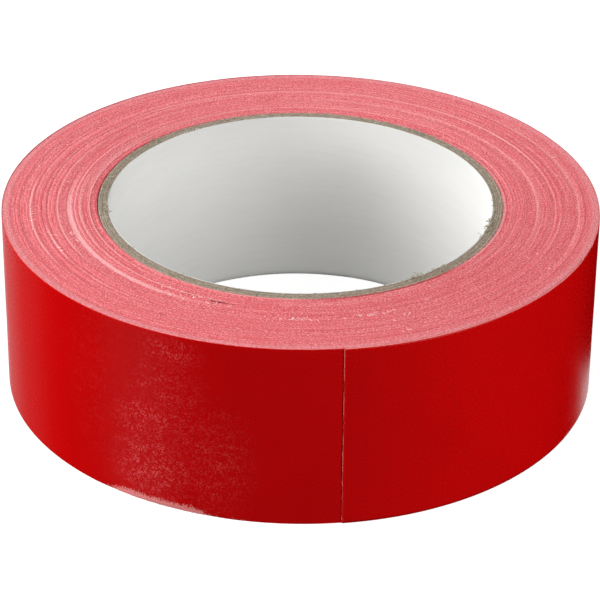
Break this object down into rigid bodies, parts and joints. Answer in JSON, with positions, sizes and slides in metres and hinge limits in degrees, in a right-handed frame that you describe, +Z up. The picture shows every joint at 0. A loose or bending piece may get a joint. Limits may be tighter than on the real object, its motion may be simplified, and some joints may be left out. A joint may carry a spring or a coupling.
{
  "type": "duct tape roll",
  "caption": "Roll of cloth-backed adhesive tape on a plied paper core, lying flat, with a free end that peels off the roll.",
  "frame": {"origin": "centre of the lower side face, on the roll's axis", "axes": "+Z up along the roll's axis; the strip's cut end is at azimuth -82 degrees from +X towards +Y, so -Y is the front"},
  "size_m": [0.1193, 0.1193, 0.038],
  "materials": {
    "film": "glossy polyethylene film",
    "cloth": "open plain weave",
    "adhesive": "tacky",
    "board": "unbleached, cut edge",
    "liner": "smooth white paper"
  },
  "bodies": {
    "roll": {"core_liner": "liner", "core_board_1": "board", "core_board_2": "board", "core_board_3": "board", "core_board_4": "board", "wound_film": "film", "wound_cloth": "cloth", "wound_adhesive": "adhesive"},
    "tab_1": {"tab_film_1": "film", "tab_cloth_1": "cloth", "tab_adhesive_1": "adhesive"},
    "tab_2": {"tab_film_2": "film", "tab_cloth_2": "cloth", "tab_adhesive_2": "adhesive"},
    "tab_3": {"tab_film_3": "film", "tab_cloth_3": "cloth", "tab_adhesive_3": "adhesive"},
    "tab_4": {"tab_film_4": "film", "tab_cloth_4": "cloth", "tab_adhesive_4": "adhesive"},
    "tab_5": {"tab_film_5": "film", "tab_cloth_5": "cloth", "tab_adhesive_5": "adhesive"},
    "tab_6": {"tab_film_6": "film", "tab_cloth_6": "cloth", "tab_adhesive_6": "adhesive"}
  },
  "joints": [
    {"name": "tab_peel", "type": "hinge", "parent": "roll", "child": "tab_1", "pos_m": [0.05275, -0.0281, 0.019], "axis": [0, 0, 1], "range_deg": [0, 120]},
    {"name": "tab_bend_2", "type": "hinge", "parent": "tab_1", "child": "tab_2", "pos_m": [0.04771, -0.03601, 0.019], "axis": [0, 0, 1], "range_deg": [0, 28]},
    {"name": "tab_bend_3", "type": "hinge", "parent": "tab_2", "child": "tab_3", "pos_m": [0.0415, -0.04303, 0.019], "axis": [0, 0, 1], "range_deg": [0, 28]},
    {"name": "tab_bend_4", "type": "hinge", "parent": "tab_3", "child": "tab_4", "pos_m": [0.03427, -0.04899, 0.019], "axis": [0, 0, 1], "range_deg": [0, 28]},
    {"name": "tab_bend_5", "type": "hinge", "parent": "tab_4", "child": "tab_5", "pos_m": [0.02619, -0.05374, 0.019], "axis": [0, 0, 1], "range_deg": [0, 28]},
    {"name": "tab_bend_6", "type": "hinge", "parent": "tab_5", "child": "tab_6", "pos_m": [0.01747, -0.05718, 0.019], "axis": [0, 0, 1], "range_deg": [0, 28]}
  ],
  "couplings": [
    {"joint": "tab_bend_3", "follows": "tab_bend_2", "ratio": 1},
    {"joint": "tab_bend_4", "follows": "tab_bend_2", "ratio": 1},
    {"joint": "tab_bend_5", "follows": "tab_bend_2", "ratio": 1},
    {"joint": "tab_bend_6", "follows": "tab_bend_2", "ratio": 1}
  ]
}
